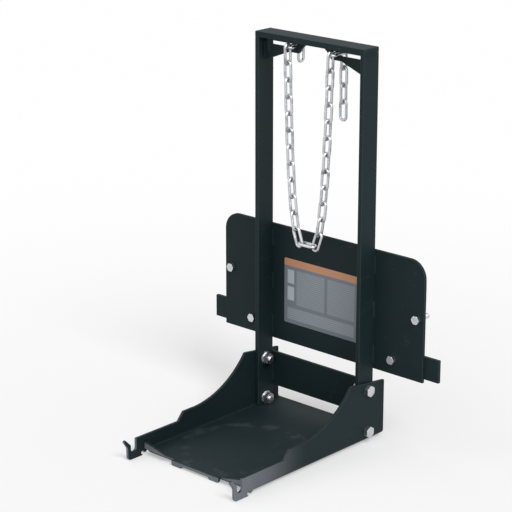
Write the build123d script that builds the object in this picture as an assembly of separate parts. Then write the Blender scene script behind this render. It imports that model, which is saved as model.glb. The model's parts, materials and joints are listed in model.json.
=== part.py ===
"""Gas cylinder bracket: a folded floor tray bolted to a welded back frame with a retaining chain.

Millimetres, +Z up, the open front faces -Y. The origin is the middle of the footprint, under the front feet.
"""

import math
import os

from build123d import *

# ---- tray: one folded sheet ----
sheet = 5.0                # thickness of every plate
bend_radius = 3.0          # inside radius of the folds
tray_inner_width = 240.0   # takes a 235 mm cylinder
floor_length = 341.0       # rear edge to the outside of the front lips
ear_length = 17.0          # the side plates run on past the floor by this much
low_wall = 31.0            # side plate height beside the front half of the cylinder
mid_wall = 46.0            # height behind the step
step_start = 257.0         # rear edge to the foot of the step
step_run = 13.0
sweep_start = 212.0        # rear edge to where the side plates start to climb
sweep_sag = 17.0           # how far the climbing edge bows below a straight line
peak_height = 111.0        # top of the side plates
peak_place = 88.0          # rear edge to the peak
peak_rise = 11.0           # the peak stands above the rear edge by this much
peak_round = 4.0

# ---- front lips and hooks ----
lip_height = 19.5          # at the side plates
lip_tip_height = 5.5       # at the open middle
lip_length = 65.0
lip_relief = 2.0           # gap between a lip and the side plate
hook_slot = 12.5           # width of the open slot
hook_arm = 7.0             # thickness of the upstanding arm
hook_floor = 9.0           # height of the slot's bottom
hook_curl = 9.0            # the arm's tip leans out by this much
hook_rise = 4.0            # the tip stands above the low wall by this much
hook_round = 3.0           # at the arm's bend
tip_round = 2.0
foot_drop = 4.0            # the front feet reach below the tray's underside
foot_round = 7.0
relief_radius = 2.5        # at the end of each long fold
foot_relief = 3.5          # radius of the notch between each foot and its lip
tab_width = 24.0           # rounded tabs under the floor's front edge
tab_place = 42.5           # from the middle of the tray
tab_round = 3.5

# ---- back frame ----
frame_fit = 0.3            # each side, between the posts and the tray's side plates
frame_top = 685.0          # above the tray's underside
post_depth = 38.0
post_width = 8.0
post_place = 44.0          # rear edge of the tray to the posts' centre line
top_bar_thickness = 10.0
cross_plate_bottom = 36.0  # above the tray's underside
cross_plate_height = 64.0

# ---- corner gussets with angled slots for the chain ----
gusset_drop = 41.5         # length of the weld down the post
gusset_reach = 104.0       # length of the weld along the bar
lobe_drop = 20.5           # the gusset's lower edge round the chain slot
lobe_start = 54.0          # from the post to the near end of that lower edge
lobe_end = 77.0
lobe_round = 6.0
throat_radius = 34.0       # hollow curve between the lobe and the bar
slot_drop = 9.0            # from the bar down to the level slot's centre line
slot_clearance = 1.5       # slot width over the chain's wire
slot_round = 1.5
mouth_height = 20.0        # the upright end passes a whole link on edge
mouth_place = 9.0          # from the post to the middle of the upright end

# ---- mounting plate and bar ----
plate_width = 453.0
plate_height = 213.0
plate_bottom = 126.0       # above the tray's underside
plate_corner = 32.0
bar_length = 512.0
bar_height = 40.0
bar_thickness = 6.0
bar_centre = 152.0         # above the tray's underside

# ---- fasteners ----
tray_bolt_size = 12.0
tray_bolt_head = 18.0      # across flats
tray_bolt_head_height = 7.5
tray_bolt_edge = 8.0       # high tray bolts below the side plates' rear corner
tray_bolt_low = 17.0       # above the tray's underside
tray_nut_height = 10.0
plate_bolt_size = 9.5
plate_bolt_head = 14.3
plate_bolt_head_height = 6.0
plate_nut_height = 8.0
high_bolt_edge = 15.0      # from the plate's side edge
high_bolt_rise = 110.0     # above the plate's lower edge
low_bolt_edge = 66.0
stud_length = 25.0         # free end of the high bolts behind the plate
hole_clearance = 0.8       # hole diameter over bolt diameter
thread_clearance = 0.1     # nut bore over bolt diameter
thread_relief = 0.5        # shank diameter over the thread's mean diameter
washer_margin = 3.0        # washer radius past the nut's flats
washer_thickness = 2.0
thread_end = 3.0           # bolt length past its nut
edge_break = 0.8           # chamfer on heads, nuts and bolt ends

# ---- chain ----
wire = 5.0                 # diameter of the link's wire
link_inner_length = 29.0
link_inner_width = 8.0
link_play = 0.3            # gap between two links in line
swag_count = 25            # links between the two gussets
tail_count = 4             # links that hang behind the right gusset
slot_end_gap = 0.6         # between a held link and the end of its slot

# ---- places that follow from the sizes ----
half_inner = tray_inner_width / 2
half_outer = half_inner + sheet
outer_bend = bend_radius + sheet
rear_height = peak_height - peak_rise
tray_bolt_high = rear_height - tray_bolt_edge
ear_front = floor_length + ear_length
slot_front = ear_front + hook_slot
hook_front = slot_front + hook_arm
tip_front = hook_front + hook_curl
plate_face = post_place - post_depth / 2
plate_back = plate_face - sheet
bar_back = plate_back - bar_thickness
nut_end = bar_back - washer_thickness - plate_nut_height - thread_end
rearmost = max(0.0, stud_length - plate_back, -nut_end)
rear_y = (tip_front - rearmost) / 2
base = foot_drop
half_frame = half_inner - frame_fit
post_inner = half_frame - post_width
bar_underside = base + frame_top - top_bar_thickness
post_y = rear_y - post_place
ring = (link_inner_width + wire) / 2
straight = link_inner_length - link_inner_width
crown_gap = 2 * ring - wire - link_play
seat_gap = link_inner_width / 2 - wire / 2 - link_play
slot_height = wire + slot_clearance
slot_inner_end = post_inner - lobe_end + (lobe_end - lobe_start) / 2 - ring - wire / 2 + slot_end_gap
held_x = slot_inner_end + slot_end_gap + ring + wire / 2
held_z = bar_underside - slot_drop - slot_height / 2 + wire / 2 + link_play
held_reach = straight / 2 + ring
swag_y = post_y - held_reach
tail_y = post_y + held_reach


def at(s, z):
    """A point of a side outline: s forward of the tray's rear edge, z above its underside."""
    return (rear_y - s, base + z)


def side_face():
    """The outline of one side plate with its foot and its open hook."""
    tip = low_wall + hook_rise
    sweep_middle = (sweep_start + peak_place) / 2, (mid_wall + peak_height) / 2 - sweep_sag
    outline = [
        Line(at(0, 0), at(0, rear_height)),
        Line(at(0, rear_height), at(peak_place, peak_height)),
        ThreePointArc(at(peak_place, peak_height), at(*sweep_middle), at(sweep_start, mid_wall)),
        Line(at(sweep_start, mid_wall), at(step_start - step_run, mid_wall)),
        Line(at(step_start - step_run, mid_wall), at(step_start, low_wall)),
        Line(at(step_start, low_wall), at(ear_front, low_wall)),
        Line(at(ear_front, low_wall), at(ear_front, hook_floor + hook_slot / 2)),
        ThreePointArc(
            at(ear_front, hook_floor + hook_slot / 2),
            at(ear_front + hook_slot / 2, hook_floor),
            at(slot_front, hook_floor + hook_slot / 2),
        ),
        Line(at(slot_front, hook_floor + hook_slot / 2), at(slot_front, low_wall - hook_curl)),
        Line(at(slot_front, low_wall - hook_curl), at(tip_front - hook_arm / 2, tip)),
        Line(at(tip_front - hook_arm / 2, tip), at(tip_front, tip - hook_arm / 2)),
        Line(at(tip_front, tip - hook_arm / 2), at(hook_front, low_wall - hook_curl - hook_arm / 2)),
        Line(at(hook_front, low_wall - hook_curl - hook_arm / 2), at(hook_front, -foot_drop)),
        Line(at(hook_front, -foot_drop), at(floor_length + foot_drop, -foot_drop)),
        Line(at(floor_length + foot_drop, -foot_drop), at(floor_length, 0)),
        Line(at(floor_length, 0), at(0, 0)),
    ]
    face = make_face(outline)
    rounds = [
        (at(hook_front, -foot_drop), foot_round),
        (at(peak_place, peak_height), peak_round),
        (at(slot_front, low_wall - hook_curl), hook_round),
        (at(hook_front, low_wall - hook_curl - hook_arm / 2), hook_round + hook_arm),
        (at(tip_front - hook_arm / 2, tip), tip_round),
        (at(tip_front, tip - hook_arm / 2), tip_round),
    ]
    for corner, radius in rounds:
        face = fillet(face.vertices().sort_by_distance(Vector(*corner))[0], radius)
    return face


def channel_section():
    """The tray's cross-section: a floor folded up on both sides."""
    outer = Rectangle(2 * half_outer, 2 * peak_height)
    outer = fillet(outer.vertices(), outer_bend)
    inner = Rectangle(2 * half_inner, 2 * (peak_height - sheet))
    inner = fillet(inner.vertices(), bend_radius)
    upper = Pos(0, peak_height) * Rectangle(2 * half_outer, 2 * peak_height)
    shell = Pos(0, peak_height) * (outer - inner)
    return shell & upper - Pos(0, 2 * peak_height) * Rectangle(2 * half_outer, 2 * peak_height)


def front_lip():
    """The right front lip, folded up from the floor and tapering to the open middle."""
    outside = rear_y - floor_length
    profile = make_face(
        [
            Line((outside + outer_bend, base), (outside + outer_bend, base + sheet)),
            RadiusArc(
                (outside + outer_bend, base + sheet), (outside + sheet, base + outer_bend), -bend_radius
            ),
            Line((outside + sheet, base + outer_bend), (outside + sheet, base + lip_height)),
            Line((outside + sheet, base + lip_height), (outside, base + lip_height)),
            Line((outside, base + lip_height), (outside, base + outer_bend)),
            RadiusArc((outside, base + outer_bend), (outside + outer_bend, base), outer_bend),
        ]
    )
    corner = half_inner - lip_relief
    blank = Pos(corner - lip_length, 0, 0) * extrude(Plane.YZ * profile, amount=lip_length)
    taper = make_face(
        Polyline(
            (corner, base),
            (corner, base + lip_height),
            (corner - lip_length, base + lip_tip_height),
            (corner - lip_length, base),
            close=True,
        )
    )
    return blank & Pos(0, outside, 0) * extrude(Plane.XZ * taper, amount=2 * outer_bend, both=True)


def front_tab():
    """A rounded tab that stands the floor's front edge as high as the feet."""
    face = Pos(0, (base + sheet) / 2) * Rectangle(tab_width, base + sheet)
    face = fillet(face.vertices().group_by(Axis.Y)[0], tab_round)
    return Pos(0, rear_y - floor_length + sheet, 0) * extrude(Plane.XZ * face, amount=sheet)


def make_tray():
    """Floor, side plates, front lips, tabs, feet and hooks: one folded sheet."""
    section = Plane.XZ * Pos(0, base) * channel_section()
    fold_end = floor_length - outer_bend
    channel = Pos(0, rear_y, 0) * extrude(section, amount=fold_end)
    sides = extrude(Plane.YZ * side_face(), amount=half_outer, both=True)
    tray = channel & sides
    ear_block = Pos(0, rear_y - fold_end, 0) * Box(
        2 * half_outer, tip_front - fold_end, 4 * peak_height, align=(Align.CENTER, Align.MAX, Align.CENTER)
    )
    for side in (-1, 1):
        slab = Pos(side * (half_inner + sheet / 2), 0, 0) * Box(sheet, 4 * floor_length, 4 * peak_height)
        tray += sides & ear_block & slab
    lip = front_lip()
    tray += lip
    tray += mirror(lip, Plane.YZ)
    middle = half_inner - lip_relief - lip_length
    tray += Pos(0, rear_y - floor_length, base) * Box(
        2 * middle, outer_bend, sheet, align=(Align.CENTER, Align.MIN, Align.MIN)
    )
    notch_y = rear_y - floor_length - foot_drop / 2
    for side in (-1, 1):
        tray += Pos(side * tab_place, 0, 0) * front_tab()
        relief = Rot(0, 90, 0) * Cylinder(relief_radius, 4 * sheet)
        notch = Rot(0, 90, 0) * Cylinder(foot_relief, 2.5 * sheet)
        tray -= Pos(side * half_outer, rear_y - fold_end, base) * relief
        tray -= Pos(side * half_outer, notch_y, base + foot_relief / 4) * notch
    for bolt_z in (tray_bolt_low, tray_bolt_high):
        tray -= Pos(0, post_y, base + bolt_z) * Rot(0, 90, 0) * Cylinder(
            (tray_bolt_size + hole_clearance) / 2, 2 * half_outer + sheet
        )
    return tray


def make_post(side):
    """One flat-bar post, standing on the tray's floor inside its side plate."""
    foot = base + sheet
    post = Pos(side * (half_frame + post_inner) / 2, post_y, foot) * Box(
        post_width, post_depth, bar_underside - foot, align=(Align.CENTER, Align.CENTER, Align.MIN)
    )
    lower_edges = post.edges().filter_by(Axis.Y).group_by(Axis.Z)[0]
    post = chamfer(lower_edges.sort_by(Axis.X)[0 if side < 0 else -1], bend_radius)
    for bolt_z in (tray_bolt_low, tray_bolt_high):
        post -= Pos(side * half_frame, post_y, base + bolt_z) * Rot(0, 90, 0) * Cylinder(
            (tray_bolt_size + hole_clearance) / 2, 4 * post_width
        )
    return post


def make_top_bar():
    """The flat bar welded across the two posts."""
    bar = Pos(0, post_y, bar_underside) * Box(
        2 * half_frame, post_depth, top_bar_thickness, align=(Align.CENTER, Align.CENTER, Align.MIN)
    )
    return chamfer(bar.edges().filter_by(Axis.Y).group_by(Axis.Z)[-1], edge_break)


def make_gusset(side):
    """A corner gusset with an angled slot: a link goes in at the upright end and slides to the lobe."""
    top = bar_underside
    outline = make_face(
        [
            Line((post_inner, top), (post_inner, top - gusset_drop)),
            Line((post_inner, top - gusset_drop), (post_inner - lobe_start, top - lobe_drop)),
            Line((post_inner - lobe_start, top - lobe_drop), (post_inner - lobe_end, top - lobe_drop)),
            RadiusArc(
                (post_inner - lobe_end, top - lobe_drop), (post_inner - gusset_reach, top), -throat_radius
            ),
            Line((post_inner - gusset_reach, top), (post_inner, top)),
        ]
    )
    nose = outline.vertices().sort_by_distance(Vector(post_inner - lobe_end, top - lobe_drop))[0]
    outline = fillet(nose, lobe_round)
    slot_end = post_inner - mouth_place + slot_height / 2
    slot_top = top - slot_drop + slot_height / 2
    level = Rectangle(slot_end - slot_inner_end, slot_height, align=(Align.MAX, Align.MAX))
    upright = Rectangle(slot_height, mouth_height, align=(Align.MAX, Align.MAX))
    cut = Pos(slot_end, slot_top) * (level + upright)
    outline -= fillet(cut.vertices(), slot_round)
    gusset = Pos(0, post_y, 0) * extrude(Plane.XZ * outline, amount=sheet / 2, both=True)
    return gusset if side > 0 else mirror(gusset, Plane.YZ)


def bolt_places():
    """The four bolts of the mounting plate: name, x and height."""
    high = plate_width / 2 - high_bolt_edge, base + plate_bottom + high_bolt_rise
    low = plate_width / 2 - low_bolt_edge, base + bar_centre
    return {
        "high_left": (-high[0], high[1]),
        "high_right": high,
        "low_left": (-low[0], low[1]),
        "low_right": low,
    }


def make_mounting_plate():
    """The broad plate behind the posts that bolts to the carrier."""
    face = Pos(0, base + plate_bottom + plate_height / 2) * Rectangle(plate_width, plate_height)
    face = fillet(face.vertices().group_by(Axis.Y)[-1], plate_corner)
    for x, z in bolt_places().values():
        face -= Pos(x, z) * Circle((plate_bolt_size + hole_clearance) / 2)
    return Pos(0, rear_y - plate_back, 0) * extrude(Plane.XZ * face, amount=sheet)


def make_cross_plate():
    """The narrow plate across the feet of the posts."""
    return Pos(0, rear_y - plate_back, base + cross_plate_bottom) * Box(
        2 * half_frame, sheet, cross_plate_height, align=(Align.CENTER, Align.MAX, Align.MIN)
    )


def make_mounting_bar():
    """The flat bar behind the plate's lower edge, longer than the plate."""
    face = Pos(0, base + bar_centre) * Rectangle(bar_length, bar_height)
    for name, (x, z) in bolt_places().items():
        if name.startswith("low"):
            face -= Pos(x, z) * Circle((plate_bolt_size + hole_clearance) / 2)
    return Pos(0, rear_y - bar_back, 0) * extrude(Plane.XZ * face, amount=bar_thickness)


def hexagon(across_flats, height):
    """A hexagonal prism from z = 0 up, its outer corners turned off at the top."""
    prism = extrude(RegularPolygon(across_flats / 2, 6, major_radius=False), amount=height)
    corner = across_flats / math.sqrt(3)
    below = (Align.CENTER, Align.CENTER, Align.MAX)
    cone = Cone(corner + 2 * height, corner - edge_break, 2 * height + edge_break, align=below)
    return prism & Pos(0, 0, height) * cone


def bolt(size, grip, thread, across_flats, head_height):
    """A hex bolt along z: its head above z = 0, its plain shank and then its thread below."""
    top = (Align.CENTER, Align.CENTER, Align.MAX)
    screw = Cylinder((size - thread_relief) / 2, grip + thread, align=top)
    screw = chamfer(screw.edges().group_by(Axis.Z)[0], edge_break)
    return hexagon(across_flats, head_height) + Cylinder(size / 2, grip, align=top) + screw


def nut(size, height, across_flats):
    """A hex nut along z, seated on z = 0."""
    return hexagon(across_flats, height) - Cylinder((size + thread_clearance) / 2, 4 * height)


def washer(size, across_flats):
    """A flat washer from z = 0 up."""
    rim = across_flats / 2 + washer_margin
    ring_face = Circle(rim) - Circle((size + hole_clearance) / 2)
    return extrude(ring_face, amount=washer_thickness)


def link():
    """One chain link, long along x and flat in the xy plane."""
    half = straight / 2
    path = Wire(
        [
            Line((-half, -ring), (half, -ring)),
            ThreePointArc((half, -ring), (half + ring, 0), (half, ring)),
            Line((half, ring), (-half, ring)),
            ThreePointArc((-half, ring), (-half - ring, 0), (-half, -ring)),
        ]
    )
    start = Plane(origin=(-half, -ring, 0), z_dir=(1, 0, 0))
    return sweep(start * Circle(wire / 2), path=path)


def placed_link(centre, along, across):
    """A link at a centre, long in one direction and as wide as it gets in another."""
    frame = Plane(origin=centre, x_dir=along, z_dir=Vector(*along).cross(Vector(*across)))
    return frame * link()


def swag_directions(span):
    """The slope of each link of a chain that hangs between two level points."""
    lengths = swag_lengths()
    middle = (swag_count - 1) / 2

    def reach(pull):
        return sum(length * math.cos(math.atan((n - middle) / pull)) for n, length in enumerate(lengths))

    low, high = 1e-3, float(swag_count)
    for _ in range(60):
        pull = (low + high) / 2
        low, high = (pull, high) if reach(pull) < span else (low, pull)
    return [math.atan((n - middle) / pull) for n in range(swag_count)]


def swag_lengths():
    """The stretch of the hanging line that each link takes up, turned links and flat links in turn."""
    turned = straight + 2 * crown_gap
    lengths = [turned if n % 2 == 0 else straight for n in range(swag_count)]
    lengths[0] = lengths[-1] = seat_gap + straight + crown_gap
    return lengths


def make_swag():
    """The links between the gussets, hanging under their own weight."""
    x, z = -held_x, held_z
    links = []
    lengths = swag_lengths()
    for n, slope in enumerate(swag_directions(2 * held_x)):
        step = Vector(math.cos(slope), 0, math.sin(slope))
        centre = lengths[n] / 2
        if n == 0:
            centre = seat_gap + straight / 2
        if n == swag_count - 1:
            centre = crown_gap + straight / 2
        place = Vector(x, swag_y, z) + step * centre
        across = (0, 1, 0) if n % 2 == 0 else (-step.Z, 0, step.X)
        links.append(placed_link(tuple(place), tuple(step), across))
        x += step.X * lengths[n]
        z += step.Z * lengths[n]
    return Compound(children=links)


def hanging_links(x, count):
    """Links that hang straight down behind a gusset, the first through its held link."""
    pitch = link_inner_length - link_play
    first = held_z - seat_gap - straight / 2
    links = []
    for n in range(count):
        across = (0, 1, 0) if n % 2 == 0 else (1, 0, 0)
        links.append(placed_link((x, tail_y, first - n * pitch), (0, 0, -1), across))
    return links


def save(node, shape):
    """Write one node's solids."""
    export_step(shape, f"parts/{node}.step")


def main():
    """Build every piece and write it."""
    os.makedirs("parts", exist_ok=True)
    save("tray", make_tray())
    save("top_bar", make_top_bar())
    save("mounting_plate", make_mounting_plate())
    save("cross_plate", make_cross_plate())
    save("mounting_bar", make_mounting_bar())

    nut_face = post_inner
    tray_grip = half_outer - nut_face
    tray_thread = washer_thickness + tray_nut_height + thread_end
    for name, side in (("left", -1), ("right", 1)):
        save(f"{name}_post", make_post(side))
        save(f"{name}_gusset", make_gusset(side))
        save(f"{name}_held_link", placed_link((side * held_x, post_y, held_z), (0, 1, 0), (1, 0, 0)))
        outward = Rot(0, 90 * side, 0)
        inward = Rot(0, -90 * side, 0)
        for level, bolt_z in (("high", base + tray_bolt_high), ("low", base + tray_bolt_low)):
            head = Pos(side * half_outer, post_y, bolt_z) * outward
            seat = Pos(side * nut_face, post_y, bolt_z) * inward
            clamp = Pos(side * (nut_face - washer_thickness), post_y, bolt_z) * inward
            save(
                f"tray_bolt_{level}_{name}",
                head * bolt(tray_bolt_size, tray_grip, tray_thread, tray_bolt_head, tray_bolt_head_height),
            )
            save(f"tray_washer_{level}_{name}", seat * washer(tray_bolt_size, tray_bolt_head))
            save(f"tray_nut_{level}_{name}", clamp * nut(tray_bolt_size, tray_nut_height, tray_bolt_head))

    forward = Rot(90, 0, 0)
    rearward = Rot(-90, 0, 0)
    plate_front_y = rear_y - plate_face
    low_thread = washer_thickness + plate_nut_height + thread_end
    for name, (x, z) in bolt_places().items():
        low = name.startswith("low")
        grip, thread = (sheet + bar_thickness, low_thread) if low else (sheet, stud_length)
        head = Pos(x, plate_front_y, z) * forward
        save(
            f"plate_bolt_{name}",
            head * bolt(plate_bolt_size, grip, thread, plate_bolt_head, plate_bolt_head_height),
        )
        if low:
            seat = Pos(x, rear_y - bar_back, z) * rearward
            clamp = Pos(x, rear_y - bar_back + washer_thickness, z) * rearward
            corner = name.removeprefix("low_")
            save(f"bar_washer_{corner}", seat * washer(plate_bolt_size, plate_bolt_head))
            save(f"bar_nut_{corner}", clamp * nut(plate_bolt_size, plate_nut_height, plate_bolt_head))

    save("swag_links", make_swag())
    save("end_link", hanging_links(-held_x, 1)[0])
    for n, piece in enumerate(hanging_links(held_x, tail_count), start=1):
        save(f"tail_link_{n}", piece)


main()
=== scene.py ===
"""Finishes, welds, threads, label and studio for a gas cylinder bracket.

Built round the bracket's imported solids, in metres, with +Z up.
"""

import json
import math

import bmesh
import bpy
import numpy as np
from mathutils import Matrix, Vector

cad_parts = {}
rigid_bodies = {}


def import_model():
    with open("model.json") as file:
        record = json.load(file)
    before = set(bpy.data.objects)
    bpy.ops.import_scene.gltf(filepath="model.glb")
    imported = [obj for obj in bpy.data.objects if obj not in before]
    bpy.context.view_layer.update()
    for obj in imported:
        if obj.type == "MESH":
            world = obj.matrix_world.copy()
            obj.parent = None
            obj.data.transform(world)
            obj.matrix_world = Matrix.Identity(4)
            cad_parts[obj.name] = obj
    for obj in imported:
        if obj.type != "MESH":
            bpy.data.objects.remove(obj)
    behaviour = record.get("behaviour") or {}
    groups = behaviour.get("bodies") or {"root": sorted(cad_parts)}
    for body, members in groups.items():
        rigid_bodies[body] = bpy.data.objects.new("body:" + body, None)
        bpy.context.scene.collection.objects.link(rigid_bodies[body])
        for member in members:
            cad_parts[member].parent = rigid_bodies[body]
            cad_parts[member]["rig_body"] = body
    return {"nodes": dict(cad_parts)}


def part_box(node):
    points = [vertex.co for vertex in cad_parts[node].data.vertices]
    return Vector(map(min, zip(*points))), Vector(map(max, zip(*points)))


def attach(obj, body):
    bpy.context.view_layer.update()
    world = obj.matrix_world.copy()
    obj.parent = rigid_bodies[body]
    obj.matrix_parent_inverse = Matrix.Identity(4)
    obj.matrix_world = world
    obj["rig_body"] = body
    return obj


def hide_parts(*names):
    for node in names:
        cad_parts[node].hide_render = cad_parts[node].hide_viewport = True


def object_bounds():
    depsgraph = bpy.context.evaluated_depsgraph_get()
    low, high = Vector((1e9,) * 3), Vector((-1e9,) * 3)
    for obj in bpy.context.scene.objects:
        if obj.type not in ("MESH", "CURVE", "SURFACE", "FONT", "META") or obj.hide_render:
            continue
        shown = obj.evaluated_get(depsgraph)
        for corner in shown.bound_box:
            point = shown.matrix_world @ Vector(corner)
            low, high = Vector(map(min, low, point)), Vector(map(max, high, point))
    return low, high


bl_info = {
    "name": "Gas cylinder bracket",
    "version": (1, 0, 0),
    "blender": (4, 5, 0),
    "location": "3D View > Sidebar > Bracket",
    "description": "Dresses a gas cylinder bracket: finishes, welds, threads, label and studio",
    "category": "Object",
}

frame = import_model()
solid_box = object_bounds()

COATED = (
    "tray",
    "top_bar",
    "left_post",
    "right_post",
    "left_gusset",
    "right_gusset",
    "mounting_plate",
    "cross_plate",
    "mounting_bar",
)
CHAIN = {name: node["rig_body"] for name, node in frame["nodes"].items() if "link" in name}
FASTENERS = tuple(n for n in frame["nodes"] if "bolt" in n or "washer" in n or "nut" in n)

MERGE_DISTANCE = 0.00001  # corners nearer than this are one corner
FLAT_ANGLE = math.radians(0.5)  # faces that turn by less than this are one face
SHARP_ANGLE = math.radians(35)  # edges that turn by more than this are softened
CREASE_ANGLE = math.radians(50)  # edges of the tray that turn by more than this stay creased

NOTCH_PLACE = (-0.005, 0.051, 0.006)  # middle of a foot notch from the tray's side, front and base
NOTCH_REACH = (0.0065, 0.010, 0.007)  # half the size of the space round a notch

WIRE_RADIUS = 0.0025  # of the chain's wire
LEG_OFFSET = 0.0065  # from the middle of a link to the middle of its leg
WELD_END_GAP = 0.0035  # from the end of a bead to the corner that it stops short of

TRAY_THREAD_RADIUS = 0.00575
PLATE_THREAD_RADIUS = 0.0045
THREAD_CREST = 0.00022  # how far the ridge stands out of the bolt
THREAD_ROOT = 0.0003  # how far its foot is sunk into the bolt
THREAD_START = 0.001  # how far a thread starts inside its nut, or clear of the plate
THREAD_TIP = 0.0014  # the bare end of a bolt

SHEEN_FULL = 0.03  # from the tray's front to where the painted sheen starts to fade
SHEEN_END = 0.19  # and to where it ends
FLOOR_RADIUS = 30.0
FLOOR_DROP = 0.0005  # from the bracket's base down to the floor


class Shade:
    """One value or colour that varies over a surface: the output of a node in a finish."""

    def __init__(self, finish, socket):
        self.finish = finish
        self.socket = socket

    def sum(self, operation, first, second):
        return self.finish.node("ShaderNodeMath", {"operation": operation}, {0: first, 1: second})

    def __add__(self, other):
        return self.sum("ADD", self, other)

    def __radd__(self, other):
        return self.sum("ADD", other, self)

    def __sub__(self, other):
        return self.sum("SUBTRACT", self, other)

    def __rsub__(self, other):
        return self.sum("SUBTRACT", other, self)

    def __mul__(self, other):
        return self.sum("MULTIPLY", self, other)

    def __rmul__(self, other):
        return self.sum("MULTIPLY", other, self)

    def __truediv__(self, other):
        return self.sum("DIVIDE", self, other)

    def at_least(self, other):
        return self.sum("MAXIMUM", self, other)


class Finish:
    """A material and the nodes in it."""

    def __init__(self, name):
        self.material = bpy.data.materials.new(name)
        self.material.use_nodes = True
        self.tree = self.material.node_tree
        self.tree.nodes.clear()
        self.place = self.node("ShaderNodeTexCoord", output="Object")

    def node(self, kind, settings=None, sockets=None, output=0):
        """A node of a kind, with its settings and the values or links of its sockets."""
        made = self.tree.nodes.new(kind)
        for name, value in (settings or {}).items():
            setattr(made, name, value)
        for name, value in (sockets or {}).items():
            if isinstance(value, Shade):
                self.tree.links.new(value.socket, made.inputs[name])
            else:
                made.inputs[name].default_value = value
        return Shade(self, made.outputs[output])

    def noise(self, scale, detail, stretch=(1.0, 1.0, 1.0)):
        """Noise with grains 1 / scale metres across, drawn out along an axis by a low stretch."""
        place = self.node("ShaderNodeMapping", {}, {"Vector": self.place, "Scale": stretch})
        sockets = {"Vector": place, "Scale": scale, "Detail": detail}
        return self.node("ShaderNodeTexNoise", {}, sockets)

    def rise(self, value, low, high):
        """0 below low, 1 above high and smooth between."""
        sockets = {"Value": value, "From Min": low, "From Max": high}
        return self.node("ShaderNodeMapRange", {"interpolation_type": "SMOOTHSTEP"}, sockets)

    def blend(self, mask, first, second):
        """A colour that goes from the first to the second as the mask goes from 0 to 1."""
        sockets = {0: mask, 6: first, 7: second}
        return self.node("ShaderNodeMix", {"data_type": "RGBA"}, sockets, output=2)

    def axes(self, vector=None):
        """The three parts of a vector, by default the place on the object."""
        vector = self.place if vector is None else vector
        split = self.node("ShaderNodeSeparateXYZ", {}, {0: vector}).socket.node
        return [Shade(self, part) for part in split.outputs]

    def length(self, vector):
        """The length of a vector."""
        settings = {"operation": "LENGTH"}
        return self.node("ShaderNodeVectorMath", settings, {0: vector}, output="Value")

    def bump(self, height, distance, strength, below=None):
        """A normal from a height, in metres where the height goes from 0 to 1."""
        sockets = {"Height": height, "Distance": distance, "Strength": strength}
        if below is not None:
            sockets["Normal"] = below
        return self.node("ShaderNodeBump", {}, sockets)

    def shade(self, sockets):
        """Finishes the material with a surface shader."""
        surface = self.node("ShaderNodeBsdfPrincipled", {}, sockets)
        return self.close(surface)

    def close(self, surface):
        """Joins the surface to the material's output."""
        out = self.tree.nodes.new("ShaderNodeOutputMaterial")
        self.tree.links.new(surface.socket, out.inputs["Surface"])
        return self.material


def solid_colour(colour):
    """An opaque colour from three parts."""
    return (*colour, 1.0)


class BracketFinishes(bpy.types.PropertyGroup):
    """Colours of the coat, the plating and the label."""

    coat: bpy.props.FloatVectorProperty(
        name="Powder coat",
        description="Colour of the powder coat",
        default=(0.0070, 0.0160, 0.0180),
        subtype="COLOR",
        min=0,
        max=1,
    )
    # also the colour of the painted sheen at the tray's front and of the painted highlight on the
    # rounded edges
    coat_worn_and_sheen: bpy.props.FloatVectorProperty(
        name="Rubbed coat and painted sheen",
        description="Colour of rubbed coat, painted sheen and painted edge highlight",
        default=(0.150, 0.163, 0.186),
        subtype="COLOR",
        min=0,
        max=1,
    )
    zinc: bpy.props.FloatVectorProperty(
        name="Zinc",
        description="Colour of the zinc plating",
        default=(0.66, 0.67, 0.69),
        subtype="COLOR",
        min=0,
        max=1,
    )
    zinc_dull: bpy.props.FloatVectorProperty(
        name="Dull zinc",
        description="Colour of the plating where it has dulled",
        default=(0.27, 0.28, 0.30),
        subtype="COLOR",
        min=0,
        max=1,
    )
    label_band: bpy.props.FloatVectorProperty(
        name="Label band",
        description="Colour of the band along the top of the label",
        default=(0.50, 0.22, 0.10),
        subtype="COLOR",
        min=0,
        max=1,
    )
    label_field: bpy.props.FloatVectorProperty(
        name="Label panel",
        description="Colour of the label below its band",
        default=(0.125, 0.150, 0.180),
        subtype="COLOR",
        min=0,
        max=1,
    )
    label_blank: bpy.props.FloatVectorProperty(
        name="Label fields",
        description="Colour of the blank fields on the label",
        default=(0.40, 0.44, 0.49),
        subtype="COLOR",
        min=0,
        max=1,
    )


class BracketDetails(bpy.types.PropertyGroup):
    """Sizes of the edges, welds, threads, label and link seams."""

    edge: bpy.props.FloatProperty(
        name="Edge rounding",
        description="Width of the softened edge on the coated plates",
        default=0.0007,
        unit="LENGTH",
    )
    bead: bpy.props.FloatProperty(
        name="Weld bead",
        description="Radius of a weld bead",
        default=0.0026,
        unit="LENGTH",
    )
    ripple: bpy.props.FloatProperty(
        name="Weld ripple",
        description="Distance from one ripple of a weld bead to the next",
        default=0.0024,
        unit="LENGTH",
    )
    pitch: bpy.props.FloatProperty(
        name="Thread pitch",
        description="Distance from one turn of the bolt threads to the next",
        default=0.0016,
        unit="LENGTH",
    )
    label_width: bpy.props.FloatProperty(
        name="Label width",
        description="Width of the label on the mounting plate",
        default=0.168,
        unit="LENGTH",
    )
    label_height: bpy.props.FloatProperty(
        name="Label height",
        description="Height of the label on the mounting plate",
        default=0.119,
        unit="LENGTH",
    )
    label_rise: bpy.props.FloatProperty(
        name="Label rise",
        description="Height of the label's lower edge above the plate's lower edge",
        default=0.037,
        unit="LENGTH",
    )
    label_sheet: bpy.props.FloatProperty(
        name="Label thickness",
        description="Thickness of the label",
        default=0.0003,
        unit="LENGTH",
    )


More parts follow.
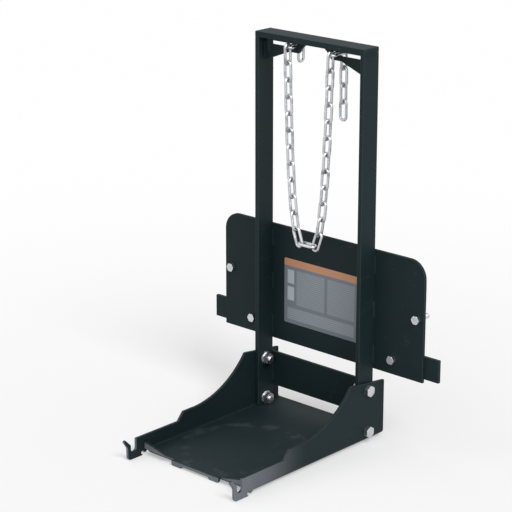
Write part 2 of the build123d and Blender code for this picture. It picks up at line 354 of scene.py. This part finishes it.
class BracketStudio(bpy.types.PropertyGroup):
    """The camera, the lamps and the floor."""

    azimuth: bpy.props.FloatProperty(
        name="Azimuth",
        description="Direction of the camera round the bracket",
        default=math.radians(42.66),
        subtype="ANGLE",
    )
    elevation: bpy.props.FloatProperty(
        name="Elevation",
        description="Height of the camera above the horizon",
        default=math.radians(17.6),
        subtype="ANGLE",
    )
    distance: bpy.props.FloatProperty(
        name="Distance",
        description="Distance of the camera from the middle of the bracket",
        default=3.256,
        unit="LENGTH",
    )
    lens: bpy.props.FloatProperty(
        name="Lens",
        description="Focal length in millimetres",
        default=138.0,
    )
    key: bpy.props.FloatProperty(
        name="Key light",
        description="Strength of the key light",
        default=1.75,
    )
    fill: bpy.props.FloatProperty(
        name="Fill light",
        description="Strength of the fill light",
        default=0.5,
    )
    front: bpy.props.FloatProperty(
        name="Front light",
        description="Strength of the low front light",
        default=0.7,
    )
    sky: bpy.props.FloatProperty(
        name="Sky",
        description="Strength of the light from all sides",
        default=0.38,
    )
    floor: bpy.props.FloatVectorProperty(
        name="Floor",
        description="Colour of the floor",
        default=(0.94, 0.94, 0.94),
        subtype="COLOR",
        min=0,
        max=1,
    )


def new_piece(name, bm, material, body):
    """Makes one piece from a bmesh, with its finish, on the body that it moves with."""
    mesh = bpy.data.meshes.new(name)
    bm.to_mesh(mesh)
    bm.free()
    mesh.materials.append(material)
    piece = bpy.data.objects.new(name, mesh)
    bpy.context.scene.collection.objects.link(piece)
    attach(piece, body)
    return piece


def smooth(piece):
    """Shades every face of a piece smooth."""
    for face in piece.data.polygons:
        face.use_smooth = True


def give_finish(node, *materials):
    """Puts materials on a solid in place of its own."""
    slots = frame["nodes"][node].data.materials
    slots.clear()
    for material in materials:
        slots.append(material)


def soften_edges(node, width, worn_and_sheen=-1):
    """Rounds a solid's sharp edges a little, in a finish of their own if one is given."""
    piece = frame["nodes"][node]
    joined = piece.modifiers.new("joined corners", "WELD")
    joined.merge_threshold = MERGE_DISTANCE
    flat = piece.modifiers.new("flat faces", "DECIMATE")
    flat.decimate_type = "DISSOLVE"
    flat.angle_limit = FLAT_ANGLE
    edges = piece.modifiers.new("soft edges", "BEVEL")
    edges.width = width
    edges.segments = 2
    edges.limit_method = "ANGLE"
    edges.angle_limit = SHARP_ANGLE
    edges.use_clamp_overlap = False
    # the rounded edges take the given slot, which on the coated plates is a lighter finish painted as a
    # highlight
    edges.material = worn_and_sheen
    even = piece.modifiers.new("even shading", "WEIGHTED_NORMAL")
    even.weight = 50


def soft_tray(width, coat, edge):
    """Stands for the tray: the same sheet with its edges softened.

    The edges of the small notches by the feet stay sharp.
    """
    bm = bmesh.new()
    bm.from_mesh(frame["nodes"]["tray"].data)
    bmesh.ops.remove_doubles(bm, verts=bm.verts, dist=MERGE_DISTANCE)
    bmesh.ops.dissolve_limit(bm, angle_limit=FLAT_ANGLE, verts=bm.verts, edges=bm.edges)
    low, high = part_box("tray")
    inset, back, up = NOTCH_PLACE
    notch = Vector((high.x + inset, low.y + back, up))

    def clear(vert):
        off = Vector((abs(vert.co.x), vert.co.y, vert.co.z)) - notch
        return any(abs(part) > reach for part, reach in zip(off, NOTCH_REACH))

    def turning(angle):
        return [e for e in bm.edges if e.is_manifold and e.calc_face_angle() > angle]

    sharp = [e for e in turning(SHARP_ANGLE) if all(clear(v) for v in e.verts)]
    # the rounded edges take slot 1, a lighter finish painted as a highlight along them
    bmesh.ops.bevel(
        bm, geom=sharp, offset=width, affect="EDGES", segments=2, profile=0.5, material=1
    )
    for crease in turning(CREASE_ANGLE):
        crease.smooth = False
    tray = new_piece("coated_tray", bm, coat, "frame")
    tray.data.materials.append(edge)
    smooth(tray)
    even = tray.modifiers.new("even shading", "WEIGHTED_NORMAL")
    even.weight = 50
    even.keep_sharp = True
    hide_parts("tray")


def powder_coat(name, colour, worn_and_sheen, painted_highlight):
    """Satin powder coat with a fine orange peel and faint dust.

    It is rubbed where the cylinder stands, and has a painted sheen on its outer and front faces near
    the tray's front.
    """
    coat = Finish(name)
    x, y, _ = coat.axes()
    facing = coat.node("ShaderNodeNewGeometry", output="Normal")
    facing_x, facing_y, up = coat.axes(facing)
    mottle = coat.noise(14.0, 3.0)
    grain = coat.noise(420.0, 1.0)
    scuff = coat.rise(coat.noise(55.0, 4.0, (1.0, 0.25, 1.0)), 0.58, 0.72)
    scuff = scuff * coat.rise(coat.noise(340.0, 2.0, (0.35, 1.0, 1.0)), 0.50, 0.62)
    dust = coat.rise(up, 0.6, 1.0) * 0.03 * mottle

    tray_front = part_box("tray")[0].y
    # painted sheen: outer and front faces near the tray's front are lightened towards the rubbed-coat
    # colour, standing in for the reflection of the bright floor
    sheen_facing = coat.rise(facing_x * x, 0.04, 0.10).at_least(coat.rise(0 - facing_y, 0.5, 0.9))
    fade = coat.rise(y, tray_front + SHEEN_FULL, tray_front + SHEEN_END)
    painted_sheen = sheen_facing * (1 - fade) * (0.60 + 0.55 * mottle)

    seat_y = (tray_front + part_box("right_post")[0].y) / 2
    from_seat = coat.node("ShaderNodeCombineXYZ", {}, {0: x, 1: y - seat_y, 2: 0.0})
    away = coat.length(from_seat)
    ring = coat.rise(away, 0.080, 0.104) * (1 - coat.rise(away, 0.112, 0.121))
    rub = ring * coat.rise(up, 0.8, 1.0) * coat.rise(coat.noise(38.0, 5.0), 0.44, 0.66)

    # real rubs, scuffs and dust, together with the painted sheen, all lighten towards the rubbed-coat
    # colour
    wear_and_sheen = (rub * 0.16).at_least(scuff * 0.08).at_least(dust).at_least(painted_sheen)
    darker, lighter = ([part * share for part in colour] for share in (0.80, 1.22))
    tone = coat.blend(mottle, solid_colour(darker), solid_colour(lighter))
    # the last argument lifts the whole finish towards the rubbed-coat colour: a painted highlight where
    # the finish sits on rounded edges
    tint = coat.blend(wear_and_sheen.at_least(painted_highlight), tone, solid_colour(worn_and_sheen))
    rough = 0.56 + 0.12 * mottle - 0.07 * rub + 0.12 * dust
    peel = coat.bump(coat.noise(620.0, 1.5), 0.00012, 0.45)
    skin = coat.bump(grain * (1 - 0.5 * rub), 0.00006, 0.35, peel)
    return coat.shade(
        {
            "Base Color": tint,
            "Roughness": rough,
            "Normal": skin,
            "Specular IOR Level": 0.16,
        }
    )


def zinc_plate(name, bright, dull, dulled, streak):
    """Zinc plating: slightly uneven, dulled in patches, with fine marks along one axis."""
    plate = Finish(name)
    cloud = plate.noise(160.0, 3.0)
    patch = plate.rise(plate.noise(46.0, 4.0), 0.50, 0.72)
    lines = plate.noise(900.0, 2.0, streak)
    tint = plate.blend((0.25 + 0.75 * patch) * dulled, solid_colour(bright), solid_colour(dull))
    rough = 0.22 + 0.16 * cloud + 0.16 * patch
    marks = plate.bump(lines, 0.00004, 0.5)
    skin = plate.bump(cloud, 0.00008, 0.4, marks)
    return plate.shade({"Base Color": tint, "Metallic": 1.0, "Roughness": rough, "Normal": skin})


class BRACKET_OT_coat(bpy.types.Operator):
    """Powder coats the tray, the frame and the plates, and softens their edges"""

    bl_idname = "bracket.coat"
    bl_label = "Coat the plates"

    def execute(self, context):
        colours = context.scene.bracket_finishes
        sizes = context.scene.bracket_details
        coat = powder_coat("satin_black_coat", colours.coat, colours.coat_worn_and_sheen, 0.0)
        # the edge finish sits a tenth of the way to the rubbed-coat colour everywhere: a painted
        # highlight on the rounded edges
        edge = powder_coat("satin_black_coat_edge_highlight", colours.coat, colours.coat_worn_and_sheen, 0.10)
        for node in COATED:
            give_finish(node, coat, edge)
            if node != "tray":
                soften_edges(node, sizes.edge, 1)
        soft_tray(sizes.edge, coat, edge)
        return {"FINISHED"}


class BRACKET_OT_plating(bpy.types.Operator):
    """Zinc plates the bolts, nuts and washers, and softens their edges"""

    bl_idname = "bracket.plating"
    bl_label = "Plate the fasteners"

    def execute(self, context):
        colours = context.scene.bracket_finishes
        sizes = context.scene.bracket_details
        zinc = zinc_plate("bright_zinc", colours.zinc, colours.zinc_dull, 0.45, (1.0, 1.0, 0.12))
        for node in FASTENERS:
            give_finish(node, zinc)
            soften_edges(node, sizes.edge * 0.35)
        return {"FINISHED"}


class BRACKET_OT_chain(bpy.types.Operator):
    """Zinc plates the chain and gives each link the seam where it was welded shut"""

    bl_idname = "bracket.chain"
    bl_label = "Plate the chain"

    def execute(self, context):
        colours = context.scene.bracket_finishes
        # the chain takes twice the dulling of the bolts: partly real dull zinc, partly a painted dark
        # reflection
        zinc = zinc_plate("dulled_zinc_and_dark_reflection", colours.zinc, colours.zinc_dull, 0.90, (0.3, 0.3, 1.0))
        for node, body in CHAIN.items():
            give_finish(node, zinc)
            bm = bmesh.new()
            for centre, along, across in link_places(node):
                add_link_seam(bm, centre, along, across)
            seam = new_piece(f"{node}_seams", bm, zinc, body)
            smooth(seam)
        return {"FINISHED"}


def link_places(node):
    """The centre, the long axis and the wide axis of each link in a solid."""
    bm = bmesh.new()
    bm.from_mesh(frame["nodes"][node].data)
    bmesh.ops.remove_doubles(bm, verts=bm.verts, dist=MERGE_DISTANCE)
    left = set(bm.verts)
    places = []
    while left:
        found = [left.pop()]
        for vert in found:
            for edge in vert.link_edges:
                other = edge.other_vert(vert)
                if other in left:
                    left.discard(other)
                    found.append(other)
        points = np.array([v.co[:] for v in found])
        middle = (points.min(0) + points.max(0)) / 2
        _, turned = np.linalg.eigh(np.cov((points - points.mean(0)).T))
        places.append((Vector(middle), Vector(turned[:, 2]), Vector(turned[:, 1])))
    bm.free()
    return places


def add_link_seam(bm, centre, along, across):
    """The slight swelling of a butt weld in the middle of one leg of a link."""
    side = across * LEG_OFFSET
    made = bmesh.ops.create_uvsphere(bm, u_segments=14, v_segments=8, radius=1.0)["verts"]
    turn = along.to_track_quat("Z", "Y").to_matrix().to_4x4()
    size = Matrix.Diagonal((WIRE_RADIUS * 1.10, WIRE_RADIUS * 1.10, WIRE_RADIUS * 0.95, 1.0))
    bmesh.ops.transform(bm, verts=made, matrix=Matrix.Translation(centre + side) @ turn @ size)


def weld_bead(bm, start, end, inward, radius, pitch):
    """A rippled bead from start to end, partly sunk into the corner that inward points to."""
    run = end - start
    steps = max(4, 2 * round(run.length / pitch))
    turn = run.to_track_quat("Z", "Y").to_matrix().to_4x4()
    made = bmesh.ops.create_circle(bm, cap_ends=True, segments=12, radius=radius * 0.45)
    rings = [made["verts"]]
    bmesh.ops.transform(bm, verts=made["verts"], matrix=Matrix.Translation(start) @ turn)
    edges = list({e for v in made["verts"] for e in v.link_edges})
    step = run / steps
    for n in range(1, steps + 1):
        grown = bmesh.ops.extrude_edge_only(bm, edges=edges)["geom"]
        verts = [g for g in grown if isinstance(g, bmesh.types.BMVert)]
        edges = [g for g in grown if isinstance(g, bmesh.types.BMEdge)]
        bmesh.ops.translate(bm, verts=verts, vec=step)
        rings.append(verts)
    bmesh.ops.contextual_create(bm, geom=edges)
    for n, verts in enumerate(rings):
        centre = start + step * n
        from_end = min(1.0, 0.12 + min(n, steps - n) * step.length / radius)
        end_taper = math.sqrt(1.0 - (1.0 - from_end) ** 2)
        ripple = 1.0 if n % 2 else 0.86
        wander = 1.0 + 0.05 * math.sin(n * 1.7) + 0.04 * math.sin(n * 0.63 + 1.0)
        for vert in verts:
            off = (vert.co - centre).normalized()
            bow = run.normalized() * radius * 0.55 * (1.0 - max(0.0, off.dot(-inward)))
            vert.co = centre + off * radius * end_taper * ripple * wander - bow * 0.8
    for verts in rings:
        bmesh.ops.translate(bm, verts=verts, vec=inward * radius * 0.35)


def weld_runs():
    """Start, end and the way into the corner of every weld bead on the right half of the frame."""
    post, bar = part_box("right_post"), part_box("top_bar")
    gusset, plate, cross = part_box("right_gusset"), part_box("mounting_plate"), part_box("cross_plate")
    under, inner, outer = bar[0].z, post[0].x, post[1].x
    front, rear = post[0].y, post[1].y
    gap = WELD_END_GAP
    runs = []

    def lay(start, end, inward):
        runs.append((Vector(start), Vector(end), Vector(inward)))

    for low, high in ((front + gap, gusset[0].y - gap), (gusset[1].y + gap, rear - gap)):
        lay((inner, low, under), (inner, high, under), (1, 0, 1))
    lay((outer, front + gap, under), (outer, rear - gap, under), (-1, 0, 0))
    span = gusset[1].x - gusset[0].x
    for y, inward in ((gusset[0].y, (0, 1, 1)), (gusset[1].y, (0, -1, 1))):
        for a, b in ((0.03, 0.36), (0.50, 0.96)):
            low, high = gusset[0].x + span * a, gusset[0].x + span * b
            lay((low, y, under), (high, y, under), inward)
    for y, inward in ((gusset[0].y, (1, 1, 0)), (gusset[1].y, (1, -1, 0))):
        lay((inner, y, gusset[0].z + gap), (inner, y, under - 2 * gap), inward)
    tall = plate[1].z - plate[0].z
    for a, b in ((0.05, 0.20), (0.43, 0.57), (0.80, 0.95)):
        low, high = plate[0].z + tall * a, plate[0].z + tall * b
        for x, inward in ((inner, (1, 1, 0)), (outer, (-1, 1, 0))):
            lay((x, rear, low), (x, rear, high), inward)
    low, high = cross[0].z + 2 * gap, cross[1].z - 2 * gap
    lay((inner, rear, low), (inner, rear, high), (1, 1, 0))
    return runs


class BRACKET_OT_welds(bpy.types.Operator):
    """Lays the weld beads of the back frame"""

    bl_idname = "bracket.welds"
    bl_label = "Lay the welds"

    def execute(self, context):
        sizes = context.scene.bracket_details
        coat = frame["nodes"]["right_post"].data.materials[0]
        for side, name in ((1, "right"), (-1, "left")):
            bm = bmesh.new()
            for start, end, inward in weld_runs():
                weld_bead(bm, start, end, inward.normalized(), sizes.bead, sizes.ripple)
            if side < 0:
                bmesh.ops.scale(bm, verts=bm.verts, vec=(-1, 1, 1))
            bmesh.ops.recalc_face_normals(bm, faces=bm.faces)
            smooth(new_piece(f"{name}_welds", bm, coat, "frame"))
        return {"FINISHED"}


def thread_ridge(bm, start, end, radius, pitch):
    """A helical ridge round a bolt end, from start to end on the bolt's axis."""
    run = end - start
    turns = run.length / pitch
    steps = 20
    turn = run.to_track_quat("Z", "Y").to_matrix().to_4x4()
    made = bmesh.ops.create_circle(bm, cap_ends=True, segments=3, radius=1.0)["verts"]
    crest, root = radius + THREAD_CREST, radius - THREAD_ROOT
    places = ((crest, 0.0), (root, -pitch * 0.42), (root, pitch * 0.42))
    for vert, (out, up) in zip(made, places):
        vert.co = Vector((out, 0.0, up))
    faces = [f for f in bm.faces if all(v in made for v in f.verts)]
    geom = faces + list({e for f in faces for e in f.edges}) + made
    before = set(bm.verts) - set(made)
    bmesh.ops.spin(
        bm,
        geom=geom,
        cent=(0, 0, 0),
        axis=(0, 0, 1),
        dvec=(0, 0, pitch / steps),
        angle=2 * math.pi * turns,
        steps=round(steps * turns),
        use_merge=False,
    )
    new = [v for v in bm.verts if v not in before]
    bmesh.ops.transform(bm, verts=new, matrix=Matrix.Translation(start) @ turn)


class BRACKET_OT_threads(bpy.types.Operator):
    """Cuts threads on the ends of the bolts that stand out of a nut or the plate"""

    bl_idname = "bracket.threads"
    bl_label = "Cut the threads"

    def execute(self, context):
        pitch = context.scene.bracket_details.pitch
        zinc = frame["nodes"][FASTENERS[0]].data.materials[0]
        for name in (n for n in FASTENERS if "_bolt_" in n):
            low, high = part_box(name)
            middle = (low + high) / 2
            bm = bmesh.new()
            if name.startswith("tray"):
                side = 1 if middle.x > 0 else -1
                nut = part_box(name.replace("bolt", "nut"))
                begin = nut[0].x if side > 0 else nut[1].x
                end = low.x if side > 0 else high.x
                radius = TRAY_THREAD_RADIUS
                start = Vector((begin + side * THREAD_START, middle.y, middle.z))
                stop = Vector((end + side * THREAD_TIP, middle.y, middle.z))
            else:
                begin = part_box("mounting_plate")[1].y + THREAD_START
                if "low" in name:
                    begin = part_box(name.replace("plate_bolt_low", "bar_nut"))[1].y - THREAD_START
                radius = PLATE_THREAD_RADIUS
                start = Vector((middle.x, begin, middle.z))
                stop = Vector((middle.x, high.y - THREAD_TIP, middle.z))
            thread_ridge(bm, start, stop, radius, pitch)
            bmesh.ops.recalc_face_normals(bm, faces=bm.faces)
            new_piece(f"{name}_thread", bm, zinc, "frame")
        return {"FINISHED"}


def label_finish(colours, low, high):
    """A printed label: a band over a panel with blank fields, all in plain colour."""
    label = Finish("label_print")
    x, _, z = label.axes()
    across = (x - low.x) / (high.x - low.x)
    up = (z - low.z) / (high.z - low.z)
    row = label.node("ShaderNodeMath", {"operation": "PINGPONG"}, {0: up, 1: 0.0155})
    lines = label.rise(row, 0.004, 0.009)

    def between(value, low, high, edge=0.004):
        past_low = label.rise(value, low - edge, low + edge)
        return past_low * (1 - label.rise(value, high - edge, high + edge))

    def box(x0, x1, z0, z1):
        return between(across, x0, x1) * between(up, z0, z1)

    band = label.rise(up, 0.885, 0.893)
    fields = box(0.045, 0.135, 0.62, 0.83).at_least(box(0.045, 0.135, 0.36, 0.57))
    rows = box(0.17, 0.55, 0.30, 0.84).at_least(box(0.59, 0.955, 0.30, 0.84))
    rows = rows * (0.12 + 0.26 * lines)
    fields = fields.at_least(rows).at_least(box(0.045, 0.955, 0.06, 0.24) * (0.20 + 0.26 * lines))
    faded = label.noise(60.0, 3.0)
    ground, blank = solid_colour(colours.label_field), solid_colour(colours.label_blank)
    panel = label.blend(fields, ground, blank)
    tint = label.blend(band, panel, solid_colour(colours.label_band))
    tint = label.blend(faded * 0.18, tint, (0.30, 0.31, 0.32, 1.0))
    skin = label.bump(label.noise(300.0, 2.0), 0.00004, 0.3)
    return label.shade({"Base Color": tint, "Roughness": 0.34 + 0.14 * faded, "Normal": skin})


class BRACKET_OT_label(bpy.types.Operator):
    """Sticks the blank label on the front of the mounting plate"""

    bl_idname = "bracket.label"
    bl_label = "Stick the label"

    def execute(self, context):
        sizes = context.scene.bracket_details
        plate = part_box("mounting_plate")
        low = Vector((-sizes.label_width / 2, plate[0].y, plate[0].z + sizes.label_rise))
        high = low + Vector((sizes.label_width, 0, sizes.label_height))
        bm = bmesh.new()
        made = bmesh.ops.create_grid(bm, x_segments=1, y_segments=1, size=0.5)["verts"]
        bmesh.ops.scale(bm, verts=made, vec=(sizes.label_width, sizes.label_height, 1))
        bmesh.ops.bevel(
            bm, geom=made, offset=0.003, affect="VERTICES", segments=4, profile=0.5, material=-1
        )
        stand = Matrix.Translation((low + high) / 2) @ Matrix.Rotation(math.pi / 2, 4, "X")
        bmesh.ops.transform(bm, verts=bm.verts, matrix=stand)
        grown = bmesh.ops.extrude_face_region(bm, geom=list(bm.faces))["geom"]
        verts = [g for g in grown if isinstance(g, bmesh.types.BMVert)]
        bmesh.ops.translate(bm, verts=verts, vec=(0, -sizes.label_sheet, 0))
        bmesh.ops.recalc_face_normals(bm, faces=bm.faces)
        finish = label_finish(context.scene.bracket_finishes, low, high)
        new_piece("label", bm, finish, "frame")
        return {"FINISHED"}


def sun(name, towards, strength, spread):
    """A broad lamp at the same strength everywhere, shining along a direction."""
    lamp = bpy.data.lights.new(name, "SUN")
    lamp.energy = strength
    lamp.angle = math.radians(spread)
    stand = bpy.data.objects.new(name, lamp)
    stand.rotation_euler = Vector(towards).to_track_quat("-Z", "Y").to_euler()
    bpy.context.scene.collection.objects.link(stand)


def floor_finish(colour):
    """Pale floor that keeps the shadow and looks white to the camera and in reflections."""
    floor = Finish("studio_floor")
    sight = floor.node("ShaderNodeLightPath", output="Is Camera Ray")
    mirror = Shade(floor, sight.socket.node.outputs["Is Glossy Ray"])
    through = Shade(floor, sight.socket.node.outputs["Is Transmission Ray"])
    matt = floor.node("ShaderNodeBsdfDiffuse", {}, {"Color": solid_colour(colour)})
    white = floor.node("ShaderNodeEmission", {}, {"Color": (1, 1, 1, 1), "Strength": 1.0})
    away = floor.length(floor.place)
    seen = sight.at_least(mirror).at_least(through) * (0.36 + 0.60 * floor.rise(away, 0.40, 1.8))
    return floor.close(floor.node("ShaderNodeMixShader", {}, {0: seen, 1: matt, 2: white}))


def white_sky(strength):
    """World that is white to the camera and in reflections, and dimmer as a light."""
    world = bpy.data.worlds.new("studio")
    bpy.context.scene.world = world
    world.use_nodes = True
    nodes, links = world.node_tree.nodes, world.node_tree.links
    back = nodes["Background"]
    back.inputs["Color"].default_value = (1, 1, 1, 1)
    sight = nodes.new("ShaderNodeLightPath")
    seen = sight.outputs["Is Camera Ray"]
    for ray in ("Is Glossy Ray", "Is Transmission Ray"):
        either = nodes.new("ShaderNodeMath")
        either.operation = "MAXIMUM"
        links.new(seen, either.inputs[0])
        links.new(sight.outputs[ray], either.inputs[1])
        seen = either.outputs[0]
    level = nodes.new("ShaderNodeMapRange")
    level.inputs["To Min"].default_value = strength
    level.inputs["To Max"].default_value = 1.0
    links.new(seen, level.inputs["Value"])
    links.new(level.outputs[0], back.inputs["Strength"])


class BRACKET_OT_stage(bpy.types.Operator):
    """Sets up the floor, the lamps, the sky and the camera"""

    bl_idname = "bracket.stage"
    bl_label = "Set the stage"

    def execute(self, context):
        studio = context.scene.bracket_studio
        bm = bmesh.new()
        bmesh.ops.create_circle(bm, cap_ends=True, segments=64, radius=FLOOR_RADIUS)
        bmesh.ops.translate(bm, verts=bm.verts, vec=(0, 0, -FLOOR_DROP))
        mesh = bpy.data.meshes.new("floor")
        bm.to_mesh(mesh)
        bm.free()
        mesh.materials.append(floor_finish(studio.floor))
        floor = bpy.data.objects.new("floor", mesh)
        context.scene.collection.objects.link(floor)

        sun("key", (-0.85, 0.30, -0.90), studio.key, 24)
        sun("fill", (0.80, 0.30, -0.80), studio.fill, 60)
        sun("front", (-0.45, 0.80, -0.40), studio.front, 60)
        white_sky(studio.sky)

        lens = bpy.data.cameras.new("camera")
        lens.lens = studio.lens
        lens.sensor_width = 36.0
        camera = bpy.data.objects.new("camera", lens)
        a, e = studio.azimuth, studio.elevation
        back = Vector((math.sin(a) * math.cos(e), -math.cos(a) * math.cos(e), math.sin(e)))
        middle = (solid_box[0] + solid_box[1]) / 2
        camera.location = middle + back * studio.distance
        camera.rotation_euler = (-back).to_track_quat("-Z", "Y").to_euler()
        context.scene.collection.objects.link(camera)
        context.scene.camera = camera
        context.scene.view_settings.view_transform = "Standard"
        return {"FINISHED"}


STEPS = (
    BRACKET_OT_coat,
    BRACKET_OT_plating,
    BRACKET_OT_chain,
    BRACKET_OT_welds,
    BRACKET_OT_threads,
    BRACKET_OT_label,
    BRACKET_OT_stage,
)
GROUPS = {
    "bracket_finishes": BracketFinishes,
    "bracket_details": BracketDetails,
    "bracket_studio": BracketStudio,
}


class BRACKET_PT_panel(bpy.types.Panel):
    """Settings and steps of the bracket"""

    bl_idname = "BRACKET_PT_panel"
    bl_label = "Gas cylinder bracket"
    bl_space_type = "VIEW_3D"
    bl_region_type = "UI"
    bl_category = "Bracket"

    def draw(self, context):
        for group, kind in GROUPS.items():
            column = self.layout.column()
            for name in kind.__annotations__:
                column.prop(getattr(context.scene, group), name)
        for step in STEPS:
            self.layout.operator(step.bl_idname)


def register():
    """Registers the settings, the steps and the panel."""
    for name, kind in GROUPS.items():
        bpy.utils.register_class(kind)
        setattr(bpy.types.Scene, name, bpy.props.PointerProperty(type=kind))
    for kind in (*STEPS, BRACKET_PT_panel):
        bpy.utils.register_class(kind)


def unregister():
    """Takes the settings, the steps and the panel away."""
    for kind in (BRACKET_PT_panel, *reversed(STEPS)):
        bpy.utils.unregister_class(kind)
    for name, kind in GROUPS.items():
        delattr(bpy.types.Scene, name)
        bpy.utils.unregister_class(kind)


def main():
    """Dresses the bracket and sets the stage."""
    register()
    for step in STEPS:
        group, name = step.bl_idname.split(".")
        getattr(getattr(bpy.ops, group), name)()


if __name__ == "__main__":
    main()
